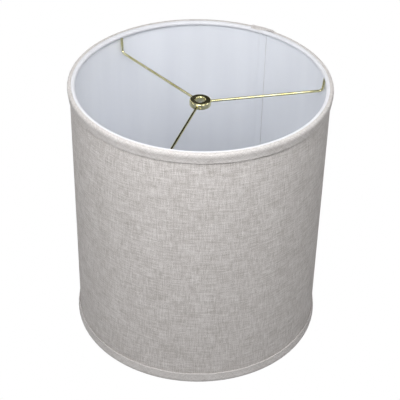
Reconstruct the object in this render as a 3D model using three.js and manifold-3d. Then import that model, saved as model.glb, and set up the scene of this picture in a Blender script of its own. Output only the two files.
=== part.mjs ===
// A hardback drum lamp shade with a washer spider.
// Millimetres, +Z up, origin on the axis in the plane that the shade stands on.
//
// A linen sheet, laminated to a white liner, is rolled into a drum and closed by a taped lap.
// A wire ring stiffens each end. White binding wraps each ring, and a linen trim covers each
// edge from outside. Three brass arms join the top ring to a washer that sits on a lamp's stud.
import * as THREE from 'three';
import { mergeVertices } from 'three/addons/utils/BufferGeometryUtils.js';
import Module from 'manifold-3d';

// ---- driving dimensions -------------------------------------------------------------------
const OUTER_DIAMETER = 304.8;      // over the trims
const HEIGHT = 330.2;
const CLEARANCE = 0.3;             // between any two pieces that touch on the real shade

const COVER_THICKNESS = 0.4;
const LINER_THICKNESS = 0.4;
const EDGE_INSET = 1.2;            // from the rim's plane to the sheets' cut edge

const LAP_ANGLE = 57.5;            // degrees, where the inner end of the sheets lies
const LAP_WIDTH = 9.5;             // overlap of the sheets, along the wall
const LAP_RAMP_ANGLE = 6;          // degrees over which the outer end steps out
const TAPE_THICKNESS = 0.2;
const TAPE_WIDTH = 6.4;

const TRIM_PROUD = 2.6;            // how far the trim's roll stands out from the linen
const TRIM_DEPTH = 12.7;           // from the rim's plane to the trim's free edge
const TRIM_EDGE_THICKNESS = 0.7;
const TRIM_FLAT_WIDTH = 0.9;       // flat of the rim outside the linen's face
const TRIM_ROUND_DEPTH = 3.2;      // height of the rounded shoulder
const TRIM_FULL_DEPTH = 5;         // where the roll starts to taper to its free edge
const TRIM_END_DROP = 0.25;        // how far the tape's inner end turns down
const TRIM_END_ROUND = 0.4;
const TRIM_LAP_RISE = 1.6;         // extra thickness where the trim's ends overlap
const TRIM_LAP_FADE = 3.5;         // degrees before the sheets' lap over which the overlap fades in
const TRIM_LAP_PAST = 4.1;         // degrees past the sheets' lap, to the trim's cut end
const TRIM_LAP_STEP = 0.8;         // degrees taken by the step at the cut end

const RING_WIRE = 3.6;
const BINDING_THICKNESS = 0.6;
const BINDING_START = 52;          // degrees round the ring, at the join with the trim
const BINDING_END = 215;           // degrees round the ring, where the tape is tucked under

const ARM_COUNT = 3;
const FIRST_ARM_ANGLE = 12.5;
const ARM_WIRE = 3.2;
const ARM_BEND_RADIUS = 5;
const ARM_LEAN = 1.4;              // how far an arm's bend lies inside its tip

const HUB_DIAMETER = 25.4;
const HUB_HOLE_DIAMETER = 11.1;
const HUB_HEIGHT = 7;
const HUB_DROP = 25;               // from the rim's plane down to the hub's upper face
const HUB_EDGE_ROUND = 1.8;
const HUB_MOUTH_ROUND = 1.5;
const SOCKET_DEPTH = 3;            // how far each arm enters the hub's wall

// ---- facet counts -------------------------------------------------------------------------
const WALL_STEP = 6;               // degrees between facets of the drum
const HUB_STEP = 10;
const RING_SIDES = 8;
const BINDING_STEPS = 5;
const ARM_SIDES = 10;
const ARM_STEPS = 48;
const SOCKET_SIDES = 16;
const SHOULDER_TURNS = [30, 60, 90];   // degrees round the trim's rounded shoulder
const ANGLE_TOLERANCE = 1e-6;
const WELD_TOLERANCE = 1e-4;

// ---- values that follow from them ---------------------------------------------------------
const FULL_TURN = 360;
const outerRadius = OUTER_DIAMETER / 2;
const coverOuter = outerRadius - TRIM_PROUD;
const coverInner = coverOuter - COVER_THICKNESS;
const linerOuter = coverInner - CLEARANCE;
const linerInner = linerOuter - LINER_THICKNESS;
const laminate = coverOuter - linerInner;
const lapOffset = laminate + TAPE_THICKNESS + 2 * CLEARANCE;
const ringRadius = linerInner - CLEARANCE - RING_WIRE / 2;
const armTipRadius = linerInner - CLEARANCE - Math.max(RING_WIRE, ARM_WIRE) / 2;
const hubRadius = HUB_DIAMETER / 2;
const hubTop = HEIGHT - HUB_DROP;
const hubMiddle = hubTop - HUB_HEIGHT / 2;

const radians = (degrees) => THREE.MathUtils.degToRad(degrees);
const halfBindingStep = radians((BINDING_END - BINDING_START) / BINDING_STEPS / 2);
const bindingNear = (RING_WIRE / 2 + CLEARANCE) / Math.cos(halfBindingStep);
const bindingFar = bindingNear + BINDING_THICKNESS;
const ringDepth = bindingFar;
const arcAngle = (length, radius) => THREE.MathUtils.radToDeg(length / radius);
const lapEnd = LAP_ANGLE + arcAngle(LAP_WIDTH, coverOuter);
const tapeMargin = arcAngle((LAP_WIDTH - TAPE_WIDTH) / 2, coverOuter);
const trimLapEnd = lapEnd + TRIM_LAP_PAST;
const trimLapGone = trimLapEnd + TRIM_LAP_STEP;

// ---- materials ----------------------------------------------------------------------------
const finish = (color, roughness, metalness) =>
  new THREE.MeshStandardMaterial({ color, roughness, metalness });
const linen = () => finish(0xc4bfbc, 0.9, 0);
const whiteTape = () => finish(0xeeedf1, 0.85, 0);
const styrene = () => finish(0xd4d9e2, 0.55, 0);
const clearTape = () => finish(0xdedcd2, 0.5, 0);
const steel = () => finish(0x9a9a98, 0.4, 1);
const brass = () => finish(0xc8c48a, 0.22, 1);

const group = new THREE.Group();

function addPiece(name, geometry, material, turn = 0) {
  const mesh = new THREE.Mesh(geometry, material);
  mesh.name = name;
  mesh.rotation.z = radians(turn);
  group.add(mesh);
}

// ---- bands round the axis -----------------------------------------------------------------
// The wall and everything on its rims share one list of facet angles, so that neighbours keep
// their clearance.
function wallAngles() {
  const marked = [
    LAP_ANGLE - LAP_RAMP_ANGLE, LAP_ANGLE - TRIM_LAP_FADE, LAP_ANGLE, LAP_ANGLE + tapeMargin,
    lapEnd - tapeMargin, lapEnd, trimLapEnd, trimLapGone,
  ];
  const angles = new Set(marked.map((angle) => THREE.MathUtils.euclideanModulo(angle, FULL_TURN)));
  for (let angle = 0; angle < FULL_TURN; angle += WALL_STEP) angles.add(angle);
  return [...angles].sort((a, b) => a - b);
}

// The facet angles from one angle to a later one, past a full turn if need be.
function anglesBetween(start, end) {
  const turns = [0, FULL_TURN].flatMap((turn) => wallAngles().map((angle) => angle + turn));
  const inside = (angle) => angle > start + ANGLE_TOLERANCE && angle < end - ANGLE_TOLERANCE;
  return [start, ...turns.filter(inside), end];
}

function ringAngles(step) {
  return Array.from({ length: FULL_TURN / step }, (_, index) => index * step);
}

// A solid made by carrying a section of [radius, height] points round the axis.
function band(angles, sectionAt, closed) {
  const positions = [];
  const faces = [];
  const sections = angles.map((angle) => sectionAt(angle).map(([r, z]) => new THREE.Vector2(r, z)));
  if (THREE.ShapeUtils.isClockWise(sections[0])) sections.forEach((section) => section.reverse());
  const count = sections[0].length;
  sections.forEach((section, index) => {
    const angle = radians(angles[index]);
    for (const { x: r, y: z } of section) positions.push(r * Math.cos(angle), r * Math.sin(angle), z);
  });
  const spans = closed ? angles.length : angles.length - 1;
  for (let span = 0; span < spans; span += 1) {
    const here = span * count;
    const next = ((span + 1) % angles.length) * count;
    for (let point = 0; point < count; point += 1) {
      const after = (point + 1) % count;
      faces.push(here + point, next + point, next + after);
      faces.push(here + point, next + after, here + after);
    }
  }
  if (!closed) {
    const last = (angles.length - 1) * count;
    for (const [a, b, c] of THREE.ShapeUtils.triangulateShape(sections[0], [])) faces.push(a, b, c);
    for (const [a, b, c] of THREE.ShapeUtils.triangulateShape(sections.at(-1), [])) {
      faces.push(last + a, last + c, last + b);
    }
  }
  const geometry = new THREE.BufferGeometry();
  geometry.setAttribute('position', new THREE.Float32BufferAttribute(positions, 3));
  geometry.setIndex(faces);
  return geometry;
}

// ---- the two laminated sheets and the tape in their lap -----------------------------------
// How far the outer end of the sheets has stepped out, at an angle counted past a full turn.
function sheetLift(angle) {
  const rampStart = LAP_ANGLE + FULL_TURN - LAP_RAMP_ANGLE;
  return lapOffset * THREE.MathUtils.smoothstep(angle, rampStart, LAP_ANGLE + FULL_TURN);
}

function rectangle(inner, outer, low, high) {
  return [[inner, low], [outer, low], [outer, high], [inner, high]];
}

function sheet(inner, outer) {
  const section = (angle) => {
    const lift = sheetLift(angle);
    return rectangle(inner + lift, outer + lift, EDGE_INSET, HEIGHT - EDGE_INSET);
  };
  return band(anglesBetween(LAP_ANGLE, lapEnd + FULL_TURN), section, false);
}

function lapTape() {
  const inner = coverOuter + CLEARANCE;
  const section = () => rectangle(inner, inner + TAPE_THICKNESS, EDGE_INSET, HEIGHT - EDGE_INSET);
  return band(anglesBetween(LAP_ANGLE + tapeMargin, lapEnd - tapeMargin), section, false);
}

// ---- trims and bindings -------------------------------------------------------------------
// The same direction, counted within half a turn of the sheets' lap.
function nearLap(angle) {
  const half = FULL_TURN / 2;
  return LAP_ANGLE + THREE.MathUtils.euclideanModulo(angle - LAP_ANGLE + half, FULL_TURN) - half;
}

// What the trim must clear under it: the sheets' outer end in the lap.
function trimLift(angle) {
  const near = nearLap(angle);
  if (near <= lapEnd) return sheetLift(Math.min(near, LAP_ANGLE) + FULL_TURN);
  return lapOffset * (1 - THREE.MathUtils.smoothstep(near, lapEnd, trimLapGone));
}

// How much thicker the trim is where its own ends overlap.
function trimRise(angle) {
  const near = nearLap(angle);
  const past = near > (trimLapEnd + trimLapGone) / 2;
  return past ? 0 : TRIM_LAP_RISE * THREE.MathUtils.smoothstep(near, LAP_ANGLE - TRIM_LAP_FADE, LAP_ANGLE);
}

// Heights here are depths in from the rim's plane; toEnd() turns them to one end of the drum.
function toEnd(section, atTop) {
  return section.map(([r, depth]) => [r, atTop ? HEIGHT - depth : depth]);
}

function trimSection(angle) {
  const end = linerInner + CLEARANCE / 2;
  const flatEnd = coverOuter + TRIM_FLAT_WIDTH;
  const bulge = outerRadius + trimRise(angle);
  const leg = coverOuter + CLEARANCE + trimLift(angle);
  const under = EDGE_INSET - CLEARANCE;
  const shoulder = SHOULDER_TURNS.map((turn) => [
    flatEnd + (bulge - flatEnd) * Math.sin(radians(turn)),
    TRIM_ROUND_DEPTH * (1 - Math.cos(radians(turn))),
  ]);
  return [
    [end, TRIM_END_DROP], [end + TRIM_END_ROUND, 0], [flatEnd, 0],
    ...shoulder,
    [bulge, TRIM_FULL_DEPTH], [leg + TRIM_EDGE_THICKNESS, TRIM_DEPTH],
    [leg, TRIM_DEPTH], [leg, under], [end, under],
  ];
}

// The binding's section is a C round the ring, open towards the liner and the arms.
function bindingSection() {
  const arc = (radius) => Array.from({ length: BINDING_STEPS + 1 }, (_, index) => {
    const share = index / BINDING_STEPS;
    const turn = radians(THREE.MathUtils.lerp(BINDING_START, BINDING_END, share));
    return [ringRadius + radius * Math.cos(turn), ringDepth - radius * Math.sin(turn)];
  });
  return [...arc(bindingFar), ...arc(bindingNear).reverse()];
}

function ringWire(atTop) {
  const section = Array.from({ length: RING_SIDES }, (_, side) => {
    const turn = radians((side * FULL_TURN) / RING_SIDES);
    return [ringRadius + (RING_WIRE / 2) * Math.cos(turn), ringDepth + (RING_WIRE / 2) * Math.sin(turn)];
  });
  return band(wallAngles(), () => toEnd(section, atTop), true);
}

// ---- spider -------------------------------------------------------------------------------
// One arm along +X: out from its socket in the hub, then up to the underside of the ring.
function spiderArm() {
  const start = hubRadius - SOCKET_DEPTH + CLEARANCE;
  const top = HEIGHT - ringDepth - RING_WIRE / 2 - CLEARANCE;
  const at = (r, z) => new THREE.Vector3(r, 0, z);
  const corner = at(armTipRadius - ARM_LEAN, hubMiddle);
  const tip = at(armTipRadius, top);
  const bendStart = at(corner.x - ARM_BEND_RADIUS, hubMiddle);
  const bendEnd = tip.clone().sub(corner).setLength(ARM_BEND_RADIUS).add(corner);
  const path = new THREE.CurvePath();
  path.add(new THREE.LineCurve3(at(start, hubMiddle), bendStart));
  path.add(new THREE.QuadraticBezierCurve3(bendStart, corner, bendEnd));
  path.add(new THREE.LineCurve3(bendEnd, tip));
  const outline = Array.from({ length: ARM_SIDES }, (_, side) => {
    const turn = (side / ARM_SIDES) * 2 * Math.PI;
    return new THREE.Vector2(Math.cos(turn), Math.sin(turn)).multiplyScalar(ARM_WIRE / 2);
  });
  const options = { steps: ARM_STEPS, extrudePath: path, bevelEnabled: false };
  return new THREE.ExtrudeGeometry(new THREE.Shape(outline), options);
}

function roundCorner(centreR, centreZ, radius, from, to) {
  return [0, 1 / 3, 2 / 3, 1].map((share) => {
    const turn = radians(THREE.MathUtils.lerp(from, to, share));
    return [centreR + radius * Math.cos(turn), centreZ + radius * Math.sin(turn)];
  });
}

function hubBlank() {
  const hole = HUB_HOLE_DIAMETER / 2;
  const bottom = hubTop - HUB_HEIGHT;
  const section = [
    [hole, bottom], [hubRadius, bottom],
    ...roundCorner(hubRadius - HUB_EDGE_ROUND, hubTop - HUB_EDGE_ROUND, HUB_EDGE_ROUND, 0, 90),
    ...roundCorner(hole + HUB_MOUTH_ROUND, hubTop - HUB_MOUTH_ROUND, HUB_MOUTH_ROUND, 90, 180),
  ];
  return band(ringAngles(HUB_STEP), () => section, true);
}

const armAngle = (index) => FIRST_ARM_ANGLE + (index * FULL_TURN) / ARM_COUNT;

// The hole in the hub's wall that takes one arm.
function socketCutter(index) {
  const radius = ARM_WIRE / 2 + CLEARANCE;
  const length = 2 * SOCKET_DEPTH;
  const cutter = new THREE.CylinderGeometry(radius, radius, length, SOCKET_SIDES);
  cutter.rotateZ(Math.PI / 2).translate(hubRadius, 0, hubMiddle);
  return cutter.rotateZ(radians(armAngle(index)));
}

// ---- solids for the cuts ------------------------------------------------------------------
const wasm = await Module();
wasm.setup();

function toSolid(geometry) {
  const bare = new THREE.BufferGeometry();
  bare.setAttribute('position', geometry.getAttribute('position').clone());
  bare.setIndex(geometry.getIndex());
  const merged = mergeVertices(bare, WELD_TOLERANCE);
  const vertProperties = new Float32Array(merged.getAttribute('position').array);
  const triVerts = new Uint32Array(merged.getIndex().array);
  return new wasm.Manifold(new wasm.Mesh({ numProp: 3, vertProperties, triVerts }));
}

function toGeometry(solid) {
  const { vertProperties, triVerts } = solid.getMesh();
  const geometry = new THREE.BufferGeometry();
  geometry.setAttribute('position', new THREE.Float32BufferAttribute(vertProperties, 3));
  geometry.setIndex([...triVerts]);
  return geometry;
}

function hubWasher() {
  let solid = toSolid(hubBlank());
  for (let index = 0; index < ARM_COUNT; index += 1) solid = solid.subtract(toSolid(socketCutter(index)));
  return toGeometry(solid);
}

// ---- assembly -----------------------------------------------------------------------------
addPiece('linen_cover', sheet(coverInner, coverOuter), linen());
addPiece('styrene_liner', sheet(linerInner, linerOuter), styrene());
addPiece('lap_tape', lapTape(), clearTape());

for (const [end, atTop] of [['top', true], ['bottom', false]]) {
  const trim = band(wallAngles(), (angle) => toEnd(trimSection(angle), atTop), true);
  const binding = band(wallAngles(), () => toEnd(bindingSection(), atTop), true);
  addPiece(`${end}_ring`, ringWire(atTop), steel());
  addPiece(`${end}_trim`, trim, linen());
  addPiece(`${end}_binding`, binding, whiteTape());
}

addPiece('hub_washer', hubWasher(), brass());
for (let index = 0; index < ARM_COUNT; index += 1) {
  addPiece(`spider_arm_${index + 1}`, spiderArm(), brass(), armAngle(index));
}

export default group;
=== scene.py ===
# %% [markdown]
# A hardback drum lamp shade, made as a shade maker builds it. A sheet of linen is laminated to a
# white styrene liner and rolled into a drum. Wire rings stiffen both ends, white tape wraps the
# rings, a bias-cut linen tape covers both edges, and three brass arms carry the hub washer.
# The engineering model is loaded first. It fixes the main sizes and places, and the looks are
# built around it.

# %% load the engineering model
import math

import bpy
import numpy as np
from mathutils import Matrix, Vector


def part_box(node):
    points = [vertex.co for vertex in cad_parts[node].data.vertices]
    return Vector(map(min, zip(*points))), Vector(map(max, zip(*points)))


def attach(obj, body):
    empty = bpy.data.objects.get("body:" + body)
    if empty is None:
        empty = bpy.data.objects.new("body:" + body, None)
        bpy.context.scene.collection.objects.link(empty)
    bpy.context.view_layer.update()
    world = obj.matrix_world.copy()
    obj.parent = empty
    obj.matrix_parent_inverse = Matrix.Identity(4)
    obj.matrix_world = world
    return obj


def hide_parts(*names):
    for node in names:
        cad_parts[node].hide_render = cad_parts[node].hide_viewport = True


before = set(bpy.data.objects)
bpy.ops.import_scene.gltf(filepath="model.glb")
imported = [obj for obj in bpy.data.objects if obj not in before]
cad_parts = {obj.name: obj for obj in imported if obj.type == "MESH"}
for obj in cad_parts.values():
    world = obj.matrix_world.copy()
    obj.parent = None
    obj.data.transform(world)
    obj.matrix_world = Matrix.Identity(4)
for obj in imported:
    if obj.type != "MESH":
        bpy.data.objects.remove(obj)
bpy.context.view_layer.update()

MM = 0.001
print("nodes:", sorted(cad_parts))

# %% [markdown]
# The main sizes and places come from the engineering model's own boxes, so that the looks can't
# drift away from it. Angles are degrees round the axis, from +X towards +Y.

# %% places taken from the model
CLEARANCE = 0.3 * MM
cover_low, cover_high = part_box("linen_cover")
liner_low, liner_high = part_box("styrene_liner")
trim_low, trim_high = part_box("top_trim")
ring_low, ring_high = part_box("top_ring")
hub_low, hub_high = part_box("hub_washer")

RIM_TOP = trim_high.z
COVER_RADIUS = -cover_low.x
LINER_OUTER = -liner_low.x
TRIM_RADIUS = -trim_low.x
TRIM_DEPTH = RIM_TOP - trim_low.z
WIRE = ring_high.z - ring_low.z
RING_RADIUS = ring_high.x - WIRE / 2
RING_DEPTH = RIM_TOP - (ring_high.z + ring_low.z) / 2
HUB_RADIUS = -hub_low.x
print("rim %.1f mm, cover radius %.2f mm, ring radius %.2f mm" %
      (RIM_TOP / MM, COVER_RADIUS / MM, RING_RADIUS / MM))

# %% [markdown]
# Colours are written as they look on a screen, in sRGB hex. Blender shades in linear light, so
# one function turns them. Nodes are added by one small function too: it makes the node, sets
# what is named, and either links an input or gives it a value.

# %% colour and node helpers
def colour(text, alpha=1.0):
    channels = [int(text[i:i + 2], 16) / 255 for i in (1, 3, 5)]
    linear = [c / 12.92 if c <= 0.04045 else ((c + 0.055) / 1.055) ** 2.4 for c in channels]
    return (*linear, alpha)


def add(tree, kind, inputs=None, **settings):
    made = tree.nodes.new(kind)
    for name, value in settings.items():
        setattr(made, name, value)
    for name, value in (inputs or {}).items():
        if isinstance(value, bpy.types.NodeSocket):
            tree.links.new(value, made.inputs[name])
        else:
            made.inputs[name].default_value = value
    return made


def new_material(name):
    material = bpy.data.materials.new(name)
    material.use_nodes = True
    tree = material.node_tree
    tree.nodes.clear()
    shader = add(tree, "ShaderNodeBsdfPrincipled")
    add(tree, "ShaderNodeOutputMaterial", {"Surface": shader.outputs["BSDF"]})
    return material, tree, shader


def maths(tree, operation, a, b=0.0, c=0.0):
    return add(tree, "ShaderNodeMath", {0: a, 1: b, 2: c}, operation=operation).outputs[0]


def ramp(tree, value, *stops):
    made = add(tree, "ShaderNodeValToRGB", {"Fac": value})
    points = made.color_ramp.elements
    while len(points) < len(stops):
        points.new(0.5)
    for point, (place, shade) in zip(points, stops):
        point.position, point.color = place, colour(shade)
    return made.outputs["Color"]


print("mid grey in linear light:", [round(c, 3) for c in colour("#808080")[:3]])

# %% [markdown]
# Linen yarn is spun from flax fibres of uneven length, so each thread swells into slubs, and its
# shade changes along it. A noise that is drawn out along one direction gives exactly that: it is
# one thread wide, and keeps its shade for a centimetre or two. Two of them, one for the warp and one
# for the weft, are shown in turn by a checker, as one thread passes over the other.
# The cloth's UV map is its flat cut, in metres, so the weave follows the cloth round the drum.

# %% weave helpers
WANDER_RATE, WANDER_REACH = 0.11, 2.2  # per millimetre, and in threads
CROSSING_SHARPNESS = 2.0
CROWN_HEIGHT = 0.35


def flat_cloth(tree, turn=0.0):
    """The place on the flat cloth in millimetres, turned for tape that is cut on the bias."""
    uv = add(tree, "ShaderNodeUVMap", uv_map="cloth").outputs["UV"]
    turned = add(tree, "ShaderNodeMapping", {"Vector": uv, "Rotation": (0, 0, math.radians(turn))})
    scaled = add(tree, "ShaderNodeVectorMath", {0: turned.outputs["Vector"], "Scale": 1 / MM},
                 operation="SCALE")
    return scaled.outputs["Vector"]


def streaks(tree, place, width, length, seed, detail=2.0, rough=0.6):
    """Noise in patches width by length millimetres."""
    stretched = add(tree, "ShaderNodeMapping",
                    {"Vector": place, "Scale": (1 / width, 1 / length, 1), "Location": (0, 0, seed)})
    noise = add(tree, "ShaderNodeTexNoise",
                {"Vector": stretched.outputs["Vector"], "Scale": 1.0, "Detail": detail,
                 "Roughness": rough})
    return noise.outputs["Fac"]


def weave(tree, place, pitch, length, seed):
    """Height and shade of a plain weave with threads a pitch apart, in millimetres."""
    wander = add(tree, "ShaderNodeTexNoise", {"Vector": place, "Scale": WANDER_RATE, "Detail": 1.0})
    moved = add(tree, "ShaderNodeVectorMath",
                {0: wander.outputs["Color"], 1: (WANDER_REACH * pitch,) * 3, 2: place},
                operation="MULTIPLY_ADD")
    split = add(tree, "ShaderNodeSeparateXYZ", {0: moved.outputs["Vector"]})
    waves = [maths(tree, "SINE", maths(tree, "MULTIPLY", split.outputs[axis], math.pi / pitch))
             for axis in ("X", "Y")]
    over = maths(tree, "MULTIPLY_ADD", maths(tree, "MULTIPLY", *waves), CROSSING_SHARPNESS, 0.5)
    over = add(tree, "ShaderNodeClamp", {"Value": over}).outputs[0]
    warp = streaks(tree, place, pitch, length, seed)
    weft = streaks(tree, place, length, pitch, seed + 7.3)
    shade = add(tree, "ShaderNodeMix", {"Factor": over, "A": warp, "B": weft}).outputs["Result"]
    crown = maths(tree, "ADD", maths(tree, "ABSOLUTE", waves[0]), maths(tree, "ABSOLUTE", waves[1]))
    height = maths(tree, "MULTIPLY_ADD", crown, CROWN_HEIGHT, shade)
    return height, shade


print("weave helpers ready")

# %% [markdown]
# Natural linen cloth: undyed flax, plain-woven and matte, with a little fuzz that lifts its
# edges to the light. Such a cover's threads are likely about 0.7 mm apart. They are drawn 1.1 mm
# apart, because a finer weave would melt into a flat grey at this size of picture.

# %% linen cloth
LINEN_PITCH = 1.1
TRIM_PITCH = 0.9
LINEN_RUN = 14.0
SLUB_WIDTH, SLUB_UP, SLUB_ACROSS = 1.4, 15.0, 17.0
PATCH_SIZE, SPECK_SIZE, FLECK_SIZE = (26.0, 30.0), (1.0, 1.0), (1.3, 4.5)
SLUB_TONE, PATCH_TONE, SPECK_TONE, TONE_MIDDLE = 0.45, 0.25, 0.80, 1.475
FLECK, FLECK_FROM, FLECK_FULL, FLECK_STRENGTH = "#8a817a", 0.72, 0.80, 0.6
SLUB_HEIGHT, LINEN_RELIEF = 0.8, 0.16 * MM


def linen(name, turn, dark, mid, light, pitch, contrast):
    material, tree, shader = new_material(name)
    place = flat_cloth(tree, turn)
    height, shade = weave(tree, place, pitch, LINEN_RUN, seed=3.1)
    slub_up = streaks(tree, place, SLUB_WIDTH, SLUB_UP, seed=21.0, detail=1.0)
    slub_across = streaks(tree, place, SLUB_ACROSS, SLUB_WIDTH, seed=29.0, detail=1.0)
    patches = streaks(tree, place, *PATCH_SIZE, seed=41.0, detail=3.0)
    specks = streaks(tree, place, *SPECK_SIZE, seed=67.0, detail=1.0)
    slubs = maths(tree, "ADD", slub_up, slub_across)
    tone = maths(tree, "MULTIPLY_ADD", slubs, SLUB_TONE, shade)
    tone = maths(tree, "MULTIPLY_ADD", patches, PATCH_TONE, tone)
    tone = maths(tree, "MULTIPLY_ADD", specks, SPECK_TONE, tone)
    tone = maths(tree, "MULTIPLY_ADD", maths(tree, "SUBTRACT", tone, TONE_MIDDLE), contrast, 0.5)
    cloth = ramp(tree, tone, (0.10, dark), (0.50, mid), (0.90, light))
    fleck_run = streaks(tree, place, *FLECK_SIZE, seed=57.0, detail=1.0)
    fleck = add(tree, "ShaderNodeMapRange",
                {"Value": fleck_run, "From Min": FLECK_FROM, "From Max": FLECK_FULL}).outputs["Result"]
    fleck = maths(tree, "MULTIPLY", fleck, FLECK_STRENGTH)
    flecked = add(tree, "ShaderNodeMix", {0: fleck, 6: cloth, 7: colour(FLECK)}, data_type="RGBA")
    tree.links.new(flecked.outputs[2], shader.inputs["Base Color"])
    raised = maths(tree, "MULTIPLY_ADD", slubs, SLUB_HEIGHT, height)
    bump = add(tree, "ShaderNodeBump", {"Height": raised, "Distance": LINEN_RELIEF, "Strength": 0.8})
    tree.links.new(bump.outputs["Normal"], shader.inputs["Normal"])
    shader.inputs["Roughness"].default_value = 0.92
    shader.inputs["Specular IOR Level"].default_value = 0.25
    shader.inputs["Sheen Weight"].default_value = 0.12
    shader.inputs["Sheen Roughness"].default_value = 0.5
    return material


cover_linen = linen("natural linen, plain woven", 0.0, "#aca7a2", "#cbc6c4", "#e5e2e0",
                    LINEN_PITCH, 1.49)
trim_linen = linen("natural linen tape, bias cut", 45.0, "#b8b3b1", "#cecac8", "#e0dddc",
                   TRIM_PITCH, 1.25)
print("linen drawn at", LINEN_PITCH, "mm between threads")

# %% [markdown]
# White cotton tape: a tight, fine weave, bleached, and soft rather than glossy. It takes the same
# weave as the linen, only finer and nearly of one shade, because cotton yarn is spun more evenly.

# %% white cotton tape
TAPE_PITCH, TAPE_RUN = 0.7, 12.0
TAPE_PATCH, TAPE_RELIEF = (18.0, 9.0), 0.08 * MM


def cotton_tape():
    material, tree, shader = new_material("bleached cotton tape, woven")
    place = flat_cloth(tree)
    height, shade = weave(tree, place, TAPE_PITCH, TAPE_RUN, seed=11.0)
    patches = streaks(tree, place, *TAPE_PATCH, seed=5.0)
    tone = maths(tree, "MULTIPLY_ADD", patches, 0.5, maths(tree, "MULTIPLY", shade, 0.5))
    tree.links.new(ramp(tree, tone, (0.25, "#d9dadf"), (0.75, "#e9eaef")), shader.inputs["Base Color"])
    bump = add(tree, "ShaderNodeBump", {"Height": height, "Distance": TAPE_RELIEF, "Strength": 0.7})
    tree.links.new(bump.outputs["Normal"], shader.inputs["Normal"])
    shader.inputs["Roughness"].default_value = 0.85
    shader.inputs["Specular IOR Level"].default_value = 0.3
    shader.inputs["Sheen Weight"].default_value = 0.1
    return material


white_tape = cotton_tape()
print("made", white_tape.name)

# %% [markdown]
# The liner is calendered polystyrene sheet, white with a cool cast. Rolling leaves it satin, with
# a faint orange peel, and very faint bands along the way it was drawn.

# %% white styrene
PEEL_SIZE, PEEL_RELIEF = 1.6 * MM, 0.02 * MM
BAND_RATE = (30, 30, 3)


def styrene():
    material, tree, shader = new_material("white polystyrene sheet, calendered")
    place = add(tree, "ShaderNodeTexCoord").outputs["Object"]
    peel = add(tree, "ShaderNodeTexNoise", {"Vector": place, "Scale": 1 / PEEL_SIZE, "Detail": 2.0})
    bands = add(tree, "ShaderNodeMapping", {"Vector": place, "Scale": BAND_RATE})
    drawn = add(tree, "ShaderNodeTexNoise", {"Vector": bands.outputs["Vector"], "Scale": 1.0,
                                             "Detail": 3.0})
    shade = ramp(tree, drawn.outputs["Fac"], (0.3, "#e4e7ee"), (0.7, "#ebeef4"))
    tree.links.new(shade, shader.inputs["Base Color"])
    gloss = add(tree, "ShaderNodeMapRange", {"Value": peel.outputs["Fac"], "To Min": 0.20,
                                         "To Max": 0.30})
    tree.links.new(gloss.outputs["Result"], shader.inputs["Roughness"])
    bump = add(tree, "ShaderNodeBump", {"Height": peel.outputs["Fac"], "Distance": PEEL_RELIEF,
                                        "Strength": 0.5})
    tree.links.new(bump.outputs["Normal"], shader.inputs["Normal"])
    shader.inputs["IOR"].default_value = 1.59
    shader.inputs["Specular IOR Level"].default_value = 0.4
    return material


liner_white = styrene()
print("made", liner_white.name)

# %% [markdown]
# Polished brass is the one shiny finish here. It is yellow rather than gold, and handling
# leaves it slightly uneven, so its roughness wanders a little. The rings are plain drawn steel
# wire, and the lap is held by a clear film with adhesive on both faces.

# %% brass, steel wire and adhesive film
WEAR_SIZE, SPOT_SIZE = 14 * MM, 3 * MM
DRAWN_RELIEF = 0.004 * MM


def metal(name, dark, light, smooth, dull, grain):
    material, tree, shader = new_material(name)
    place = add(tree, "ShaderNodeTexCoord").outputs["Object"]
    wear = add(tree, "ShaderNodeTexNoise", {"Vector": place, "Scale": 1 / WEAR_SIZE, "Detail": 3.0})
    fine = add(tree, "ShaderNodeTexNoise", {"Vector": place, "Scale": 1 / (grain * MM), "Detail": 2.0})
    tree.links.new(ramp(tree, wear.outputs["Fac"], (0.35, dark), (0.65, light)),
                   shader.inputs["Base Color"])
    gloss = add(tree, "ShaderNodeMapRange",
                {"Value": wear.outputs["Fac"], "From Min": 0.3, "From Max": 0.7,
                 "To Min": smooth, "To Max": dull})
    tree.links.new(gloss.outputs["Result"], shader.inputs["Roughness"])
    bump = add(tree, "ShaderNodeBump", {"Height": fine.outputs["Fac"], "Distance": DRAWN_RELIEF,
                                        "Strength": 0.2})
    tree.links.new(bump.outputs["Normal"], shader.inputs["Normal"])
    shader.inputs["Metallic"].default_value = 1.0
    return material


def adhesive_film():
    material, tree, shader = new_material("clear adhesive film")
    place = add(tree, "ShaderNodeTexCoord").outputs["Object"]
    spots = add(tree, "ShaderNodeTexNoise", {"Vector": place, "Scale": 1 / SPOT_SIZE, "Detail": 3.0})
    tree.links.new(ramp(tree, spots.outputs["Fac"], (0.35, "#d6d3c6"), (0.65, "#e6e4dc")),
                   shader.inputs["Base Color"])
    shader.inputs["Roughness"].default_value = 0.35
    return material


brass = metal("polished yellow brass", "#d4ce98", "#ebe6c0", 0.12, 0.18, 0.35)
steel = metal("drawn steel wire", "#8d8c8a", "#b0afad", 0.30, 0.45, 0.25)
film = adhesive_film()
for node, finish in (("top_ring", steel), ("bottom_ring", steel), ("lap_tape", film)):
    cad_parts[node].data.materials.clear()
    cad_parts[node].data.materials.append(finish)
print("metals:", brass.name, "and", steel.name)

# %% [markdown]
# A sheet of cloth starts as a flat grid, like the cut piece on the table. Each of its points is
# then laid where the sheet ends up. The grid's own UV map is scaled to the flat size in metres,
# so a pattern on it keeps its scale. Solidify gives the sheet its thickness, inwards from the
# face that shows.

# %% sheet helper
ROUNDED_OVER, SMOOTH_UNDER = math.radians(50), math.radians(35)


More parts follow.
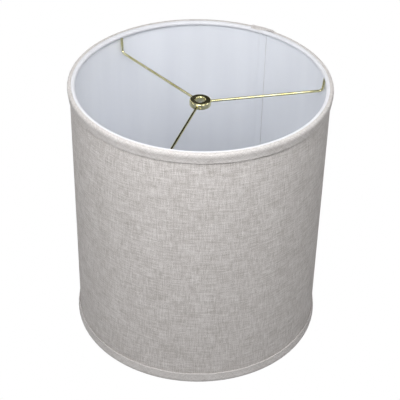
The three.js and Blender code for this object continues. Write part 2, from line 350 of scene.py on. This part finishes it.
def rolled_sheet(name, columns, rows, flat, lay, thickness, material, edge=0.0):
    """A cut piece of flat size, laid by lay(share round, share across) -> x, y, z arrays."""
    bpy.ops.object.select_all(action="DESELECT")
    bpy.ops.mesh.primitive_grid_add(x_subdivisions=columns, y_subdivisions=rows, size=1)
    piece = bpy.context.object
    piece.name = piece.data.name = name
    mesh = piece.data
    places = np.empty(len(mesh.vertices) * 3)
    mesh.vertices.foreach_get("co", places)
    along, across = places.reshape(-1, 3)[:, 0] + 0.5, places.reshape(-1, 3)[:, 1] + 0.5
    mesh.vertices.foreach_set("co", np.stack(lay(along, across), axis=1).ravel())
    corner = np.empty(len(mesh.loops), dtype=np.int64)
    mesh.loops.foreach_get("vertex_index", corner)
    layer = mesh.uv_layers[0]
    layer.name = "cloth"
    layer.data.foreach_set(
        "uv", np.stack([along[corner] * flat[0], across[corner] * flat[1]], axis=1).ravel())
    mesh.update()
    wall = piece.modifiers.new("thickness", "SOLIDIFY")
    wall.thickness, wall.offset = thickness, -1.0
    bpy.ops.object.modifier_apply(modifier=wall.name)
    if edge:
        soft = piece.modifiers.new("edge", "BEVEL")
        soft.width, soft.segments, soft.limit_method = edge, 2, "ANGLE"
        soft.angle_limit = ROUNDED_OVER
        bpy.ops.object.modifier_apply(modifier=soft.name)
    mesh.materials.append(material)
    bpy.ops.object.shade_smooth_by_angle(angle=SMOOTH_UNDER)
    print(name, "has", len(mesh.polygons), "faces")
    return piece


def smooth(value, start, end):
    share = np.clip((value - start) / (end - start), 0, 1)
    return share * share * (3 - 2 * share)


def round_axis(radius, degrees, height):
    turn = np.radians(degrees)
    return radius * np.cos(turn), radius * np.sin(turn), height + 0 * turn


print("a smooth rise from 0 to 1, a quarter of the way along:", float(smooth(0.25, 0, 1)))

# %% [markdown]
# The drum is one laminate: linen outside, styrene inside. It starts at the lap, goes once
# round, and its outer end climbs over its inner end. The overlap shows inside as a cut edge with
# a small step, and a second, fainter crease where the hidden end stops behind it. The cut edge
# curls a little inwards. Outside, the liner stops just short of the linen's end and the linen's
# edge is turned down, so that no liner shows there and the seam is one vertical line.

# %% the rolled drum
LAP_FROM = 57.5
LAP_WIDTH = 9.5 * MM
LAP_TO = LAP_FROM + math.degrees(LAP_WIDTH / COVER_RADIUS)
LAP_RAMP, PRESS_REACH = 5.5, 0.25
LINEN_THICK = 0.4 * MM
LINER_THICK = 0.4 * MM
LINER_INNER = LINER_OUTER - LINER_THICK
LAP_STEP = COVER_RADIUS - LINER_INNER
CREASE = 0.5 * MM
CURL, CURL_REACH = 0.25 * MM, 1.0
LINER_STEP = 0.25 * MM
LINER_SHORT = 0.8
TURNED_EDGE, TURNED_REACH = 0.55 * MM, 0.7
WAVER, PLAIN_END = 0.1 * MM, 25 * MM
LINEN_EDGE, LINER_EDGE = 0.12 * MM, 0.1 * MM
DRUM_GRID = (720, 36)


def drum_lift(degrees, step):
    """How far a sheet stands out from its plain radius, at an angle past the lap."""
    climb = step * smooth(degrees, LAP_FROM + 360 - LAP_RAMP, LAP_FROM + 360)
    pressed = smooth(degrees, LAP_TO - PRESS_REACH, LAP_TO + PRESS_REACH) - 1
    curled = smooth(degrees, LAP_FROM, LAP_FROM + CURL_REACH) - 1
    return climb + (CREASE * pressed + CURL * curled) * (degrees < LAP_FROM + 180)


def waver(degrees, height):
    """Hand-rolled sheet is never a true cylinder: it wanders by about a tenth of a millimetre."""
    turn = np.radians(degrees)
    return WAVER * (np.sin(5 * turn + 9 * height) + np.sin(11 * turn - 14 * height + 1.3)) / 2


def drum(radius, low, high, step, short=0.0, turned=0.0):
    """A sheet that stops short degrees before the lap's end, its edge turned down by turned."""
    def lay(along, across):
        degrees = LAP_FROM + along * (360 + LAP_TO - LAP_FROM - short)
        height = low + across * (high - low)
        ends = smooth(height, low, low + PLAIN_END) * smooth(-height, -high, -high + PLAIN_END)
        out = radius + drum_lift(degrees, step) + ends * waver(degrees, height)
        out = out - turned * smooth(degrees, LAP_TO + 360 - TURNED_REACH, LAP_TO + 360)
        return round_axis(out, degrees, height)
    return lay


DRUM_HEIGHT = cover_high.z - cover_low.z
DRUM_TURN = math.radians(360 + LAP_TO - LAP_FROM)
cover_flat = (DRUM_TURN * (COVER_RADIUS - LINEN_THICK / 2), DRUM_HEIGHT)
cover_lay = drum(COVER_RADIUS, cover_low.z, cover_high.z, LAP_STEP, turned=TURNED_EDGE)
cover = rolled_sheet("linen_cloth", *DRUM_GRID, cover_flat, cover_lay,
                     LINEN_THICK, cover_linen, LINEN_EDGE)
liner_flat = (DRUM_TURN * LINER_OUTER, DRUM_HEIGHT)
liner_lay = drum(LINER_OUTER, liner_low.z, liner_high.z, LINER_STEP, short=LINER_SHORT)
liner = rolled_sheet("liner_sheet", *DRUM_GRID, liner_flat, liner_lay,
                     LINER_THICK, liner_white, LINER_EDGE)
print("linen cut %.1f x %.1f mm" % (cover_flat[0] / MM, cover_flat[1] / MM))

# %% [markdown]
# The trim is a linen tape cut on the bias, so that it stretches round the curve. It starts on the
# inside of the rim, rolls over the edge and is glued down outside, where its edge is folded under
# so that it can't fray. A smooth line through a few points gives its section, with few numbers to
# choose, and this helper draws such a line.

# %% tape section helper
def through(points, count):
    """Points spaced evenly along a smooth curve through the given ones (Catmull-Rom)."""
    p = np.array([points[0], *points, points[-1]], float)
    fine = []
    for a, b, c, d in zip(p, p[1:], p[2:], p[3:]):
        t = np.linspace(0, 1, 12, endpoint=False)[:, None]
        fine.append(0.5 * (2 * b + (c - a) * t + (2 * a - 5 * b + 4 * c - d) * t ** 2
                           + (3 * b - a - 3 * c + d) * t ** 3))
    fine = np.vstack([*fine, p[-1:]])
    run = np.concatenate([[0], np.cumsum(np.linalg.norm(np.diff(fine, axis=0), axis=1))])
    even = np.linspace(0, run[-1], count)
    return np.stack([np.interp(even, run, fine[:, k]) for k in (0, 1)], axis=1), run[-1]


print("a straight line 5 long comes out %.2f long" % through([(0, 0), (3, 4)], 3)[1])

# %% [markdown]
# Both trims share one section. Its points run from the folded edge up and over to the inside, each
# a distance out from the linen and a depth below the rim. The tape's ends overlap across the
# drum's own lap, where both layers are lifted, and at the top rim the lapped end reaches over the
# white roll. Just inside the crown the two layers still cross by about 0.2 mm. A slanting join
# shows as a low ridge, as on long bias tape, and a few sine waves keep the tape's free edge and
# its face from looking machine-made.

# %% the linen trims
TRIM_SECTION = np.array([
    (0.12, 10.6), (0.12, 12.05), (0.35, 12.6), (0.85, 12.8), (1.35, 12.6), (1.6, 12.05),
    (1.75, 10.0), (2.15, 7.0), (2.5, 5.0), (2.6, 3.4), (2.4, 1.8), (1.85, 0.65), (0.95, 0.05),
    (0.1, 0.0), (-0.8, 0.0), (-1.5, 0.05), (-1.9, 0.45)]) * MM
TRIM_THICK = 0.5 * MM
TRIM_LAP_FROM, TRIM_LAP_TO, TRIM_LAP_RAMP = 55.4, 65.2, 3.0
TRIM_LAP_OUT, TRIM_LAP_UP = 1.4 * MM, 1.3 * MM
TRIM_UNDER = TRIM_THICK + 0.1 * MM
OVER_RADIUS = WIRE / 2 + 1.9 * MM
OVER_FROM, OVER_TO, OVER_FADE = 60.0, 135.0, 6.0
JOIN_AT, JOIN_HEIGHT, JOIN_WIDTH = 289.0, 0.3 * MM, 1.1 * MM
EDGE_UNEVEN, FACE_UNEVEN = 0.12 * MM, 0.05 * MM
PADDED_FROM, PADDED_FULL = 0.3 * MM, 2.2 * MM
RAISED_FULL, RAISED_NONE = 1 * MM, 6 * MM
FREE_FROM = 5 * MM
AFTER_LAP = 1.5
TRIM_COLUMNS, TRIM_ROWS = 720, 44
ENDS = (("top", True), ("bottom", False))
trim_line, TRIM_WIDTH = through(TRIM_SECTION, TRIM_ROWS + 1)
TRIM_CROWN = np.argmax(trim_line[:, 0] < 0) / TRIM_ROWS


def trim_lay(at_top):
    def lay(along, across):
        degrees = TRIM_LAP_FROM + along * (360 + TRIM_LAP_TO - TRIM_LAP_FROM)
        share = across if at_top else 1 - across
        shares = np.linspace(0, 1, len(trim_line))
        out = np.interp(share, shares, trim_line[:, 0])
        depth = np.interp(share, shares, trim_line[:, 1])
        outside = smooth(depth, PADDED_FROM, PADDED_FULL) * (out > 0)
        near = (degrees - LAP_FROM + 180) % 360 - 180 + LAP_FROM
        over_lap = np.where(near < LAP_TO, smooth(near, LAP_FROM - LAP_RAMP, LAP_FROM),
                            1 - smooth(near, LAP_TO, LAP_TO + AFTER_LAP))
        top_layer = smooth(degrees, TRIM_LAP_FROM + 360 - TRIM_LAP_RAMP, TRIM_LAP_FROM + 360)
        under_layer = 1 - smooth(degrees, TRIM_LAP_TO, TRIM_LAP_TO + 1)
        padded = TRIM_LAP_OUT * top_layer + (TRIM_LAP_OUT - TRIM_UNDER) * under_layer
        out = out + outside * (LAP_STEP * over_lap + padded)
        if at_top:
            raised = TRIM_LAP_UP * top_layer + (TRIM_LAP_UP - TRIM_UNDER) * under_layer
            depth = depth - raised * (1 - smooth(depth, RAISED_FULL, RAISED_NONE))
            past = np.clip((share - TRIM_CROWN) / (1 - TRIM_CROWN), 0, 1)
            wrap = np.radians(OVER_FROM + (OVER_TO - OVER_FROM) * past)
            over = (past > 0) * smooth(degrees, TRIM_LAP_FROM + 360, TRIM_LAP_FROM + 360 + OVER_FADE)
            out = out + over * (RING_RADIUS - COVER_RADIUS + OVER_RADIUS * np.cos(wrap) - out)
            depth = depth + over * (RING_DEPTH - OVER_RADIUS * np.sin(wrap) - depth)
        turn = np.radians(degrees)
        uneven = np.sin(23 * turn) + np.sin(37 * turn + 2.0) + np.sin(61 * turn + 4.0)
        free = smooth(depth, FREE_FROM, TRIM_DEPTH)
        depth = depth + free * EDGE_UNEVEN * uneven
        out = out + outside * FACE_UNEVEN * (np.sin(71 * turn + 1) + np.sin(97 * turn))
        slant = (degrees - JOIN_AT) * math.radians(1) * TRIM_RADIUS - (share - 0.5) * TRIM_WIDTH
        out = out + outside * JOIN_HEIGHT * np.exp(-(slant / JOIN_WIDTH) ** 2)
        height = RIM_TOP - depth if at_top else np.maximum(depth, 0)
        return round_axis(COVER_RADIUS + out, degrees, height)
    return lay


trim_flat = (math.radians(360 + TRIM_LAP_TO - TRIM_LAP_FROM) * (COVER_RADIUS + 1.5 * MM), TRIM_WIDTH)
trims = {}
for end, at_top in ENDS:
    trims[end] = rolled_sheet(end + "_trim_tape", TRIM_COLUMNS, TRIM_ROWS, trim_flat,
                              trim_lay(at_top), TRIM_THICK, trim_linen)
print("trim tape %.0f x %.1f mm" % (trim_flat[0] / MM, trim_flat[1] / MM))

# %% [markdown]
# White cotton tape is wrapped round each wire ring and tucked behind it. It is the soft white
# roll on the inside of the rim. It pulls into slight waves, because it is a straight tape that
# goes round two curves at once. Along one stretch of the top rim it is wrapped more loosely.

# %% the white bindings
WRAP_FROM, WRAP_TO = 36.0, 266.0
WRAP_RADIUS = WIRE / 2 + CLEARANCE + 0.62 * MM
WRAP_THICK = 0.5 * MM
WRAP_LAP_FROM, WRAP_LAP_TO, WRAP_LAP_RAMP = 60.0, 67.0, 2.0
WRAP_LAP_HEIGHT, WRAP_WAVES, WRAP_EDGE = 0.35 * MM, 0.04 * MM, 0.1 * MM
WRAP_GRID = (1080, 16)
WRAP_LOOSE, WRAP_LOOSE_AT, WRAP_LOOSE_REACH = 0.35 * MM, 155.0, 45.0


def binding_lay(at_top):
    def lay(along, across):
        degrees = WRAP_LAP_FROM + along * (360 + WRAP_LAP_TO - WRAP_LAP_FROM)
        share = 1 - across if at_top else across
        wrap = np.radians(WRAP_TO + (WRAP_FROM - WRAP_TO) * share)
        turn = np.radians(degrees)
        second = smooth(degrees, WRAP_LAP_FROM + 360 - WRAP_LAP_RAMP, WRAP_LAP_FROM + 360)
        middle = np.sin(np.pi * share)
        waves = np.sin(83 * turn) * np.sin(19 * turn + 1) + 0.6 * np.sin(131 * turn + 2)
        radius = WRAP_RADIUS + WRAP_LAP_HEIGHT * second * middle + WRAP_WAVES * waves * middle
        near = (degrees - WRAP_LOOSE_AT + 180) % 360 - 180
        loose = WRAP_LOOSE * np.exp(-(near / WRAP_LOOSE_REACH) ** 2) if at_top else 0
        radius = radius + loose
        out = RING_RADIUS + radius * np.cos(wrap)
        depth = RING_DEPTH + loose - radius * np.sin(wrap)
        height = RIM_TOP - depth if at_top else np.maximum(depth, 0)
        return round_axis(out, degrees, height)
    return lay


binding_flat = (math.radians(360 + WRAP_LAP_TO - WRAP_LAP_FROM) * RING_RADIUS,
                math.radians(WRAP_TO - WRAP_FROM) * WRAP_RADIUS)
bindings = {}
for end, at_top in ENDS:
    bindings[end] = rolled_sheet(end + "_white_tape", *WRAP_GRID, binding_flat,
                                 binding_lay(at_top), WRAP_THICK, white_tape, WRAP_EDGE)
print("white tape %.0f x %.1f mm" % (binding_flat[0] / MM, binding_flat[1] / MM))

# %% [markdown]
# The hub is a turned brass washer. A cylinder is inset on both faces to the size of its hole, the
# two inner faces are removed and their edges bridged, and the corners are bevelled: a wide round
# outside and at the mouth of the hole, as polishing leaves them, and small ones below.

# %% the hub washer
HUB_HOLE = 11.1 / 2 * MM
HUB_EDGE, HUB_MOUTH = 1.8 * MM, 1.5 * MM
HUB_TOP, HUB_BOTTOM = hub_high.z, hub_low.z
HUB_UNDER_EDGE = 0.5 * MM
HUB_SIDES = 96
EDGE_NEAR = 0.05 * MM


def select_edges(mesh, wanted):
    """Leaves only the edges selected whose two points both pass the test."""
    bpy.ops.mesh.select_all(action="DESELECT")
    bpy.ops.object.mode_set(mode="OBJECT")
    passed = [wanted(v.co) for v in mesh.vertices]
    for edge in mesh.edges:
        edge.select = all(passed[i] for i in edge.vertices)
    bpy.ops.object.mode_set(mode="EDIT")
    bpy.ops.mesh.select_mode(type="EDGE")


def near_hole(co):
    return math.hypot(co.x, co.y) < HUB_HOLE + 0.2 * MM


def ring_at(radius, height):
    def near(co):
        return abs(math.hypot(co.x, co.y) - radius) < EDGE_NEAR and abs(co.z - height) < EDGE_NEAR
    return near


bpy.ops.object.select_all(action="DESELECT")
bpy.ops.mesh.primitive_cylinder_add(vertices=HUB_SIDES, radius=HUB_RADIUS, depth=HUB_TOP - HUB_BOTTOM,
                                    location=(0, 0, (HUB_TOP + HUB_BOTTOM) / 2))
hub = bpy.context.object
hub.name = hub.data.name = "hub_ring"
bpy.ops.object.transform_apply(location=True)
bpy.ops.object.mode_set(mode="EDIT")
bpy.ops.mesh.select_mode(type="FACE")
bpy.ops.mesh.select_all(action="DESELECT")
bpy.ops.object.mode_set(mode="OBJECT")
for face in hub.data.polygons:
    face.select = abs(face.normal.z) > 0.9
bpy.ops.object.mode_set(mode="EDIT")
bpy.ops.mesh.inset(thickness=(HUB_RADIUS - HUB_HOLE) * math.cos(math.pi / HUB_SIDES))
bpy.ops.mesh.delete(type="ONLY_FACE")
select_edges(hub.data, near_hole)
bpy.ops.mesh.bridge_edge_loops()
for radius, height, width, segments in ((HUB_RADIUS, HUB_TOP, HUB_EDGE, 8),
                                        (HUB_HOLE, HUB_TOP, HUB_MOUTH, 8),
                                        (HUB_RADIUS, HUB_BOTTOM, HUB_UNDER_EDGE, 4),
                                        (HUB_HOLE, HUB_BOTTOM, HUB_UNDER_EDGE, 4)):
    select_edges(hub.data, ring_at(radius, height))
    bpy.ops.mesh.bevel(offset=width, segments=segments, profile=0.5, affect="EDGES")
bpy.ops.mesh.select_all(action="SELECT")
bpy.ops.mesh.remove_doubles(threshold=0.001 * MM)
bpy.ops.mesh.normals_make_consistent(inside=False)
bpy.ops.object.mode_set(mode="OBJECT")
print("hub washer has", len(hub.data.polygons), "faces")

# %% [markdown]
# Each arm is drawn brass wire that was bent up once, near its end. A poly curve follows its middle
# and is given the wire's thickness, which keeps the section round through the bend. It runs from
# inside the hub's wall to the ring. The wire is bent by hand, so no two arms are quite alike.

# %% the three arms
ARM_WIRE = 3.2 * MM
ARM_BEND = 5.0 * MM
ARM_INSERT = 2.7 * MM
RUN_POINTS, BEND_POINTS, TIP_POINTS = 25, 15, 6
ARMS = (
    # angle, how far its bend lies inside its tip, how far it rises, how far its tip turns
    (12.3, -0.5 * MM, 0.0, -3.2),
    (131.8, 1.4 * MM, 2.4 * MM, 0.0),
    (253.1, 0.5 * MM, 0.0, 0.0),
)
ARM_HEIGHT = (HUB_TOP + HUB_BOTTOM) / 2
ARM_TOP = RIM_TOP - RING_DEPTH - WIRE / 2


def arm_path(angle, lean, rise, tip_turn):
    def at(radius, height, degrees):
        turn = math.radians(degrees)
        return np.array([radius * math.cos(turn), radius * math.sin(turn), height])

    start = at(HUB_RADIUS - ARM_INSERT, ARM_HEIGHT, angle)
    corner = at(RING_RADIUS - lean, ARM_HEIGHT + rise, angle)
    tip = at(RING_RADIUS, ARM_TOP, angle + tip_turn)
    bend_from = corner + (start - corner) / np.linalg.norm(start - corner) * ARM_BEND
    bend_to = corner + (tip - corner) / np.linalg.norm(tip - corner) * ARM_BEND
    share = np.linspace(0, 1, BEND_POINTS)[:, None]
    bend = (1 - share) ** 2 * bend_from + 2 * share * (1 - share) * corner + share ** 2 * bend_to
    return np.vstack([np.linspace(start, bend_from, RUN_POINTS)[:-1], bend,
                      np.linspace(bend_to, tip, TIP_POINTS)[1:]])


def make_arm(number):
    path = arm_path(*ARMS[number - 1])
    bpy.ops.object.select_all(action="DESELECT")
    bpy.ops.curve.primitive_nurbs_path_add()
    arm = bpy.context.object
    arm.name = arm.data.name = "brass_arm_%d" % number
    arm.data.splines.clear()
    line = arm.data.splines.new("POLY")
    line.points.add(len(path) - 1)
    for point, place in zip(line.points, path):
        point.co = (*place, 1)
    arm.data.bevel_depth, arm.data.bevel_resolution, arm.data.use_fill_caps = ARM_WIRE / 2, 8, True
    bpy.ops.object.convert(target="MESH")
    arm = bpy.context.object
    arm.data.materials.clear()
    arm.data.materials.append(brass)
    bpy.ops.object.shade_smooth_by_angle(angle=math.radians(40))
    return arm


arms = [make_arm(number) for number in (1, 2, 3)]
print("arms:", [len(arm.data.polygons) for arm in arms], "faces each")

# %% [markdown]
# Each arm's end sits in a hole drilled in the washer's wall, and a punch mark beside it spreads
# the brass, so that the arm can't pull out. The holes and the marks are cut with booleans.

# %% sockets and punch marks in the hub
SOCKET_GAP, SOCKET_DEPTH = 0.12 * MM, 3.0 * MM
PUNCH_TURN, PUNCH_RADIUS, PUNCH_HEIGHT = math.radians(17), 0.75 * MM, 2.6 * MM


def cut(target, tool):
    bpy.ops.object.select_all(action="DESELECT")
    target.select_set(True)
    bpy.context.view_layer.objects.active = target
    cutter = target.modifiers.new("cut", "BOOLEAN")
    cutter.object, cutter.operation, cutter.solver = tool, "DIFFERENCE", "EXACT"
    bpy.ops.object.modifier_apply(modifier=cutter.name)
    bpy.data.objects.remove(tool)


for angle, *_ in ARMS:
    turn = math.radians(angle)
    outward = Vector((math.cos(turn), math.sin(turn), 0))
    bpy.ops.mesh.primitive_cylinder_add(
        vertices=32, radius=ARM_WIRE / 2 + SOCKET_GAP, depth=SOCKET_DEPTH * 2,
        location=outward * HUB_RADIUS + Vector((0, 0, ARM_HEIGHT)),
        rotation=(math.pi / 2, 0, turn + math.pi / 2))
    cut(hub, bpy.context.object)
    beside = turn + PUNCH_TURN
    bpy.ops.mesh.primitive_uv_sphere_add(
        segments=16, ring_count=10, radius=PUNCH_RADIUS,
        location=(HUB_RADIUS * math.cos(beside), HUB_RADIUS * math.sin(beside),
                  HUB_BOTTOM + PUNCH_HEIGHT))
    cut(hub, bpy.context.object)
hub.data.materials.clear()
hub.data.materials.append(brass)
bpy.ops.object.select_all(action="DESELECT")
hub.select_set(True)
bpy.context.view_layer.objects.active = hub
bpy.ops.object.shade_smooth_by_angle(angle=math.radians(28))
print("hub after the cuts:", len(hub.data.polygons), "faces")

# %% [markdown]
# Every new piece rides on the one body and stands for the engineering nodes that it replaces,
# which are hidden.

# %% tie the pieces to the model
for piece, nodes, finish in (
        (cover, ["linen_cover"], "linen"),
        (liner, ["styrene_liner"], "liner"),
        (trims["top"], ["top_trim"], "linen_trim"),
        (trims["bottom"], ["bottom_trim"], "linen_trim"),
        (bindings["top"], ["top_binding"], "white_binding"),
        (bindings["bottom"], ["bottom_binding"], "white_binding"),
        (hub, ["hub_washer"], "brass"),
        (arms[0], ["spider_arm_1"], "brass"),
        (arms[1], ["spider_arm_2"], "brass"),
        (arms[2], ["spider_arm_3"], "brass")):
    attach(piece, "root")
    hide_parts(*nodes)

# %% [markdown]
# The stage is plain: a pale floor and soft round lamps. The broad light comes from the front,
# weaker lamps fill the sides, and two strong ones low at the back light the far side. Polished
# brass is a mirror, so it shows what stands behind the shade: no lamp stands where the washer's
# flat top would show it, about 32 degrees up and straight behind, and that keeps its face dark
# against the white liner. The floor is white to the camera and grey to everything else, so that
# it throws less light up at the drum.

# %% floor, lights and world
STAGE = 12.0


def floor_material():
    material, tree, shader = new_material("pale painted floor")
    shader.inputs["Base Color"].default_value = colour("#ababab")
    shader.inputs["Roughness"].default_value = 1.0
    shader.inputs["Specular IOR Level"].default_value = 0.0
    sweep = add(tree, "ShaderNodeEmission", {"Color": (1, 1, 1, 1), "Strength": 1.0})
    seen = add(tree, "ShaderNodeLightPath").outputs["Is Camera Ray"]
    lit = add(tree, "ShaderNodeMixShader", {0: seen, 1: shader.outputs[0], 2: sweep.outputs[0]})
    tree.links.new(lit.outputs[0], tree.nodes["Material Output"].inputs["Surface"])
    return material


bpy.ops.object.select_all(action="DESELECT")
bpy.ops.mesh.primitive_plane_add(size=STAGE, location=(0, 0, 0))
floor = bpy.context.object
floor.name = "floor"
floor.data.materials.append(floor_material())

LAMPS = (
    # name, degrees from the front, elevation, distance and size in metres, watts
    ("near_front", -10, 50, 0.8, 0.4, 3.7),
    ("front_left", -35, 35, 1.4, 0.5, 3.6),
    ("front_right", 35, 35, 1.4, 0.5, 3.0),
    ("left", -90, 40, 1.4, 0.5, 1.0),
    ("right", 90, 40, 1.4, 0.5, 2.4),
    ("high_right", 50, 60, 1.2, 0.5, 1.9),
    ("low_left", -70, 15, 1.4, 0.5, 2.2),
    ("low_right", 70, 15, 1.4, 0.5, 1.1),
    ("back_high", 180, 65, 1.3, 0.9, 1.2),
    ("back_left", -145, 32, 1.5, 0.6, 1.2),
    ("left_arm", -138, 50, 1.4, 0.5, 0.8),
    ("back_low", 163, 8, 1.8, 0.5, 4.8),
    ("back_low_left", -150, 8, 1.8, 0.5, 3.4),
)
AIM = Vector((0, 0, 0.2))
AROUND, AROUND_STRENGTH = (1.0, 0.96, 0.88, 1), 0.045
for name, azimuth, elevation, distance, size, power in LAMPS:
    turn, rise = math.radians(azimuth), math.radians(elevation)
    away = Vector((math.sin(turn) * math.cos(rise), -math.cos(turn) * math.cos(rise), math.sin(rise)))
    bpy.ops.object.light_add(type="AREA", location=AIM + distance * away)
    lamp = bpy.context.object
    lamp.name = lamp.data.name = name
    lamp.data.shape, lamp.data.size, lamp.data.energy = "DISK", size, power
    lamp.rotation_euler = (-away).to_track_quat("-Z", "Y").to_euler()

world = bpy.data.worlds.new("studio")
bpy.context.scene.world = world
world.use_nodes = True
tree = world.node_tree
tree.nodes.clear()
around = add(tree, "ShaderNodeBackground", {"Color": AROUND, "Strength": AROUND_STRENGTH})
backdrop = add(tree, "ShaderNodeBackground", {"Color": (1, 1, 1, 1), "Strength": 1.0})
seen = add(tree, "ShaderNodeLightPath").outputs["Is Camera Ray"]
mixed = add(tree, "ShaderNodeMixShader",
            {0: seen, 1: around.outputs[0], 2: backdrop.outputs[0]})
add(tree, "ShaderNodeOutputWorld", {"Surface": mixed.outputs[0]})
bpy.context.scene.view_settings.view_transform = "Standard"
print("stage ready")

# %% [markdown]
# A long lens from about a metre and a half away keeps the drum's sides nearly parallel. The camera
# looks down into the shade, so that the washer and its arms show inside, and it leans a little to
# one side, as a camera that was set up by eye does.

# %% the camera
EYE = Vector((0.0, -1.1797, 1.0200))
LENS, SENSOR = 106.90, 36.0
PITCH, PAN, ROLL = (math.radians(a) for a in (36.06, 0.113, 1.29))
forward = Vector((math.sin(PAN) * math.cos(PITCH), math.cos(PAN) * math.cos(PITCH), -math.sin(PITCH)))
right = forward.cross(Vector((0, 0, 1))).normalized()
up = right.cross(forward)
across = right * math.cos(ROLL) + up * math.sin(ROLL)
upward = -right * math.sin(ROLL) + up * math.cos(ROLL)
turn = Matrix((across, upward, -forward)).transposed()
bpy.ops.object.camera_add(location=EYE, rotation=turn.to_euler())
camera = bpy.context.object
camera.data.lens, camera.data.sensor_width = LENS, SENSOR
camera.data.clip_start, camera.data.clip_end = 0.05, 50
bpy.context.scene.camera = camera
print("camera %.3f m from the shade's foot" % EYE.length)
